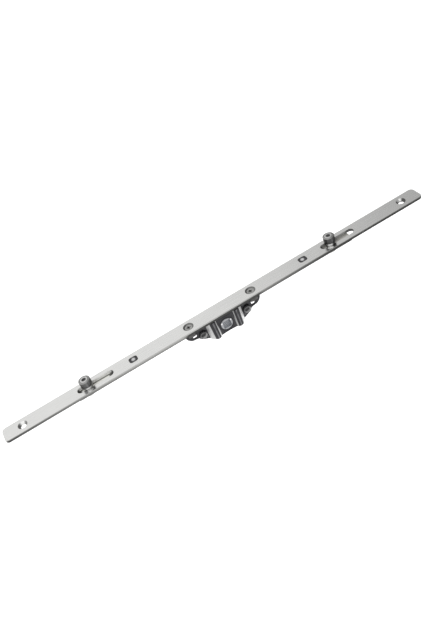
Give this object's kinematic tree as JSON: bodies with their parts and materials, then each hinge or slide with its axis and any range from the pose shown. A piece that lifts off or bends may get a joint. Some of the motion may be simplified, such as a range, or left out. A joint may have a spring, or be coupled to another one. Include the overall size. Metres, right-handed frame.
{
  "type": "window espagnolette",
  "caption": "Window espagnolette: flat faceplate with a sliding drive bar, eccentric roller cams and a central rack-and-pinion gearbox with a square spindle socket.",
  "frame": {"origin": "on the faceplate's outer face, halfway along it and across it, midway between the end screw holes", "axes": "+X along the faceplate towards the right-hand cam, +Z out of the outer face (the cams stand up, the gearbox hangs below), +Y across the plate towards the gearbox's back cover"},
  "size_m": [0.4, 0.016, 0.0317],
  "materials": {
    "zinc_plate": "satin zinc plated",
    "zinc_bar": "satin zinc plated",
    "dark_case": "dark grey, semi-gloss",
    "pinion_steel": "bare steel",
    "pin_steel": "bare steel",
    "dark_rivet": "dark grey",
    "cam_steel": "dark polished steel",
    "washer_steel": "zinc plated",
    "clip_plastic": "black, moulded",
    "screw_steel": "zinc plated",
    "block_steel": "dark steel",
    "bush_steel": "dark grey"
  },
  "bodies": {
    "case": {"faceplate": "zinc_plate", "guide_clip_left": "clip_plastic", "guide_clip_right": "clip_plastic", "gearbox_front_cover": "dark_case", "gearbox_back_cover": "dark_case", "fixing_block_left": "block_steel", "fixing_block_right": "block_steel", "block_pins": "pin_steel", "cover_rivets": "dark_rivet", "gearbox_screw_left": "screw_steel", "gearbox_screw_right": "screw_steel", "handle_bush_left": "bush_steel", "handle_bush_right": "bush_steel"},
    "bar": {"drive_bar": "zinc_bar"},
    "pinion": {"drive_pinion": "pinion_steel"},
    "stud_left": {"cam_stud_left": "cam_steel", "cam_end_washer_left": "washer_steel", "cam_spring_washer_left": "washer_steel"},
    "roller_left": {"cam_roller_left": "cam_steel"},
    "stud_right": {"cam_stud_right": "cam_steel", "cam_end_washer_right": "washer_steel", "cam_spring_washer_right": "washer_steel"},
    "roller_right": {"cam_roller_right": "cam_steel"}
  },
  "joints": [
    {"name": "bar_slide", "type": "slide", "parent": "case", "child": "bar", "axis": [1, 0, 0], "range_m": [0, 0.018]},
    {"name": "pinion_turn", "type": "hinge", "parent": "case", "child": "pinion", "pos_m": [0, 0, -0.015], "axis": [0, 1, 0], "range_deg": [-0.5, 90.5]},
    {"name": "stud_left_turn", "type": "hinge", "parent": "bar", "child": "stud_left", "pos_m": [-0.1248, 0, 0], "axis": [0, 0, 1], "range_deg": [-90, 90]},
    {"name": "roller_left_spin", "type": "hinge", "parent": "stud_left", "child": "roller_left", "pos_m": [-0.124, 0, 0.004], "axis": [0, 0, 1], "continuous": true},
    {"name": "stud_right_turn", "type": "hinge", "parent": "bar", "child": "stud_right", "pos_m": [0.1092, 0, 0], "axis": [0, 0, 1], "range_deg": [-90, 90]},
    {"name": "roller_right_spin", "type": "hinge", "parent": "stud_right", "child": "roller_right", "pos_m": [0.11, 0, 0.004], "axis": [0, 0, 1], "continuous": true}
  ],
  "couplings": [
    {"joint": "pinion_turn", "follows": "bar_slide", "rad_per_m": 87.266}
  ]
}
